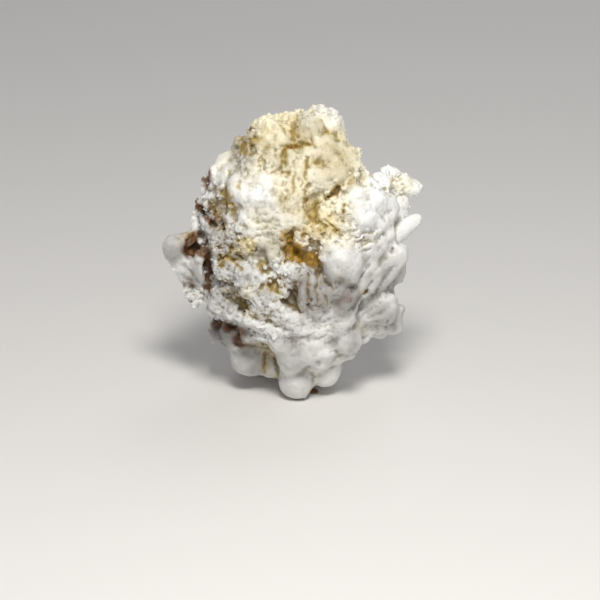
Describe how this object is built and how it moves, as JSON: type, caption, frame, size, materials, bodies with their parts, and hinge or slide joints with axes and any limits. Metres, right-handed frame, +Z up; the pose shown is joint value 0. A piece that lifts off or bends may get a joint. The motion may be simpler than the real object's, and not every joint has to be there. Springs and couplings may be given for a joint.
{
  "type": "coralloid aragonite specimen",
  "caption": "Hand-sized coral-like mass of white to cream aragonite: knobs, ribs, blades and crumbly crusts with ochre crevices, standing on a flat broken-off scar.",
  "frame": {"origin": "middle of the bounding box, on the plane of the flat scar that the piece stands on", "axes": "+Z up and along the tallest measure, +X to the right of the display side, -Y out of the display side"},
  "size_m": [0.0798, 0.0492, 0.0901],
  "materials": {
    "aragonite": "dull chalky crust, milky and waxy where smooth"
  },
  "bodies": {
    "root": {"aragonite": "aragonite"}
  },
  "joints": []
}
